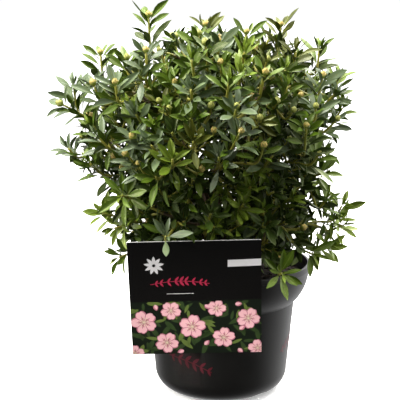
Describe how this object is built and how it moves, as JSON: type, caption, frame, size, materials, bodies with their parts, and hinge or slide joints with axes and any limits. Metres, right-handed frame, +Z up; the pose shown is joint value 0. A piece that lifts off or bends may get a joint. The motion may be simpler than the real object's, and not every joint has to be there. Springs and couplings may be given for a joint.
{
  "type": "potted dwarf rhododendron",
  "caption": "Compact evergreen shrub with leathery leaves and round flower buds, standing in a black nursery pot with a picture card hung on its rim.",
  "frame": {"origin": "centre of the pot's flat underside, on the ground", "axes": "+Z up along the pot's axis; -Y towards the front, where the card hangs; +X to the right seen from the front"},
  "size_m": [0.3911, 0.3542, 0.5007],
  "materials": {
    "pot_plastic": "black injection-moulded nursery plastic, low sheen",
    "compost": "moist dark bark compost, crumbly",
    "card": "printed plastic card, satin, with a thin white edge",
    "bark": "brown flaking bark",
    "foliage": "leathery evergreen leaves with a grey-green sheen",
    "young_stem": "smooth yellow-green young shoots",
    "bud": "scaly yellow-green flower buds"
  },
  "bodies": {
    "root": {"pot": "pot_plastic", "compost": "compost", "card": "card", "trunk": "bark", "bough_skirt_1": "bark", "bough_skirt_2": "bark", "bough_skirt_3": "bark", "bough_skirt_4": "bark", "bough_skirt_5": "bark", "bough_side_1": "bark", "bough_side_2": "bark", "bough_side_3": "bark", "bough_side_4": "bark", "bough_side_5": "bark", "bough_shoulder_1": "bark", "bough_shoulder_2": "bark", "bough_shoulder_3": "bark", "bough_shoulder_4": "bark", "bough_top": "bark", "foliage_skirt_1": "foliage", "foliage_skirt_2": "foliage", "foliage_skirt_3": "foliage", "foliage_skirt_4": "foliage", "foliage_skirt_5": "foliage", "foliage_side_1": "foliage", "foliage_side_2": "foliage", "foliage_side_3": "foliage", "foliage_side_4": "foliage", "foliage_side_5": "foliage", "foliage_shoulder_1": "foliage", "foliage_shoulder_2": "foliage", "foliage_shoulder_3": "foliage", "foliage_shoulder_4": "foliage", "foliage_top": "foliage"}
  },
  "joints": []
}
